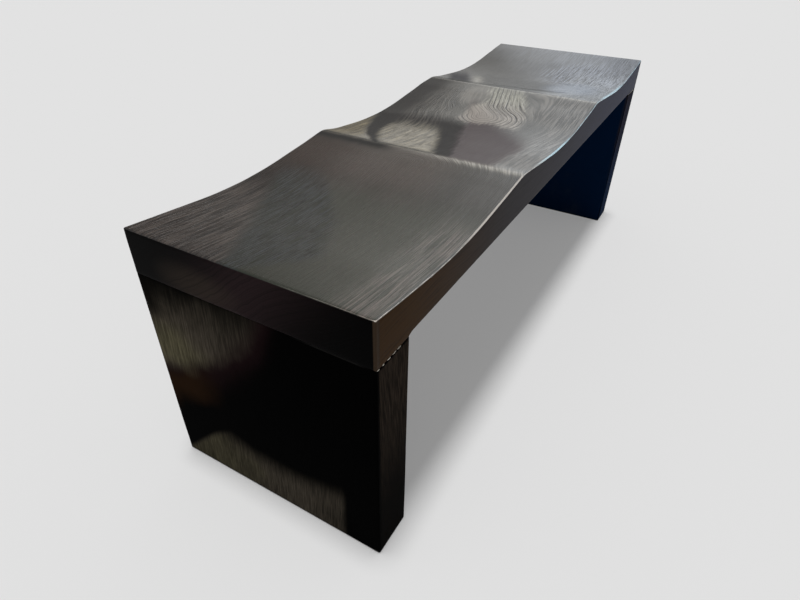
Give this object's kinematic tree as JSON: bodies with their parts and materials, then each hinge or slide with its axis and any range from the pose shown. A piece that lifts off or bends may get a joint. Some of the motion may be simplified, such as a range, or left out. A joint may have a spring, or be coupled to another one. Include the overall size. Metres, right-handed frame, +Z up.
{
  "type": "wooden bench",
  "caption": "Long backless bench: a thick solid-wood seat slab carved into shallow sitting hollows, standing on two full-width slab legs, in near-black stain.",
  "frame": {"origin": "on the floor, under the middle of the bench", "axes": "+X along the bench from the left leg to the right leg, +Y from the front long side to the back, +Z up"},
  "size_m": [1.35, 0.405, 0.4498],
  "materials": {
    "dark_stained_wood": "near-black stain, rubbed to a satin sheen, with open grain",
    "pale_tenon_wood": "plain, unfinished hardwood"
  },
  "bodies": {
    "root": {"seat_slab": "dark_stained_wood", "left_leg": "dark_stained_wood", "right_leg": "dark_stained_wood", "left_front_tenon": "pale_tenon_wood", "left_middle_tenon": "pale_tenon_wood", "left_back_tenon": "pale_tenon_wood", "right_front_tenon": "pale_tenon_wood", "right_middle_tenon": "pale_tenon_wood", "right_back_tenon": "pale_tenon_wood"}
  },
  "joints": []
}
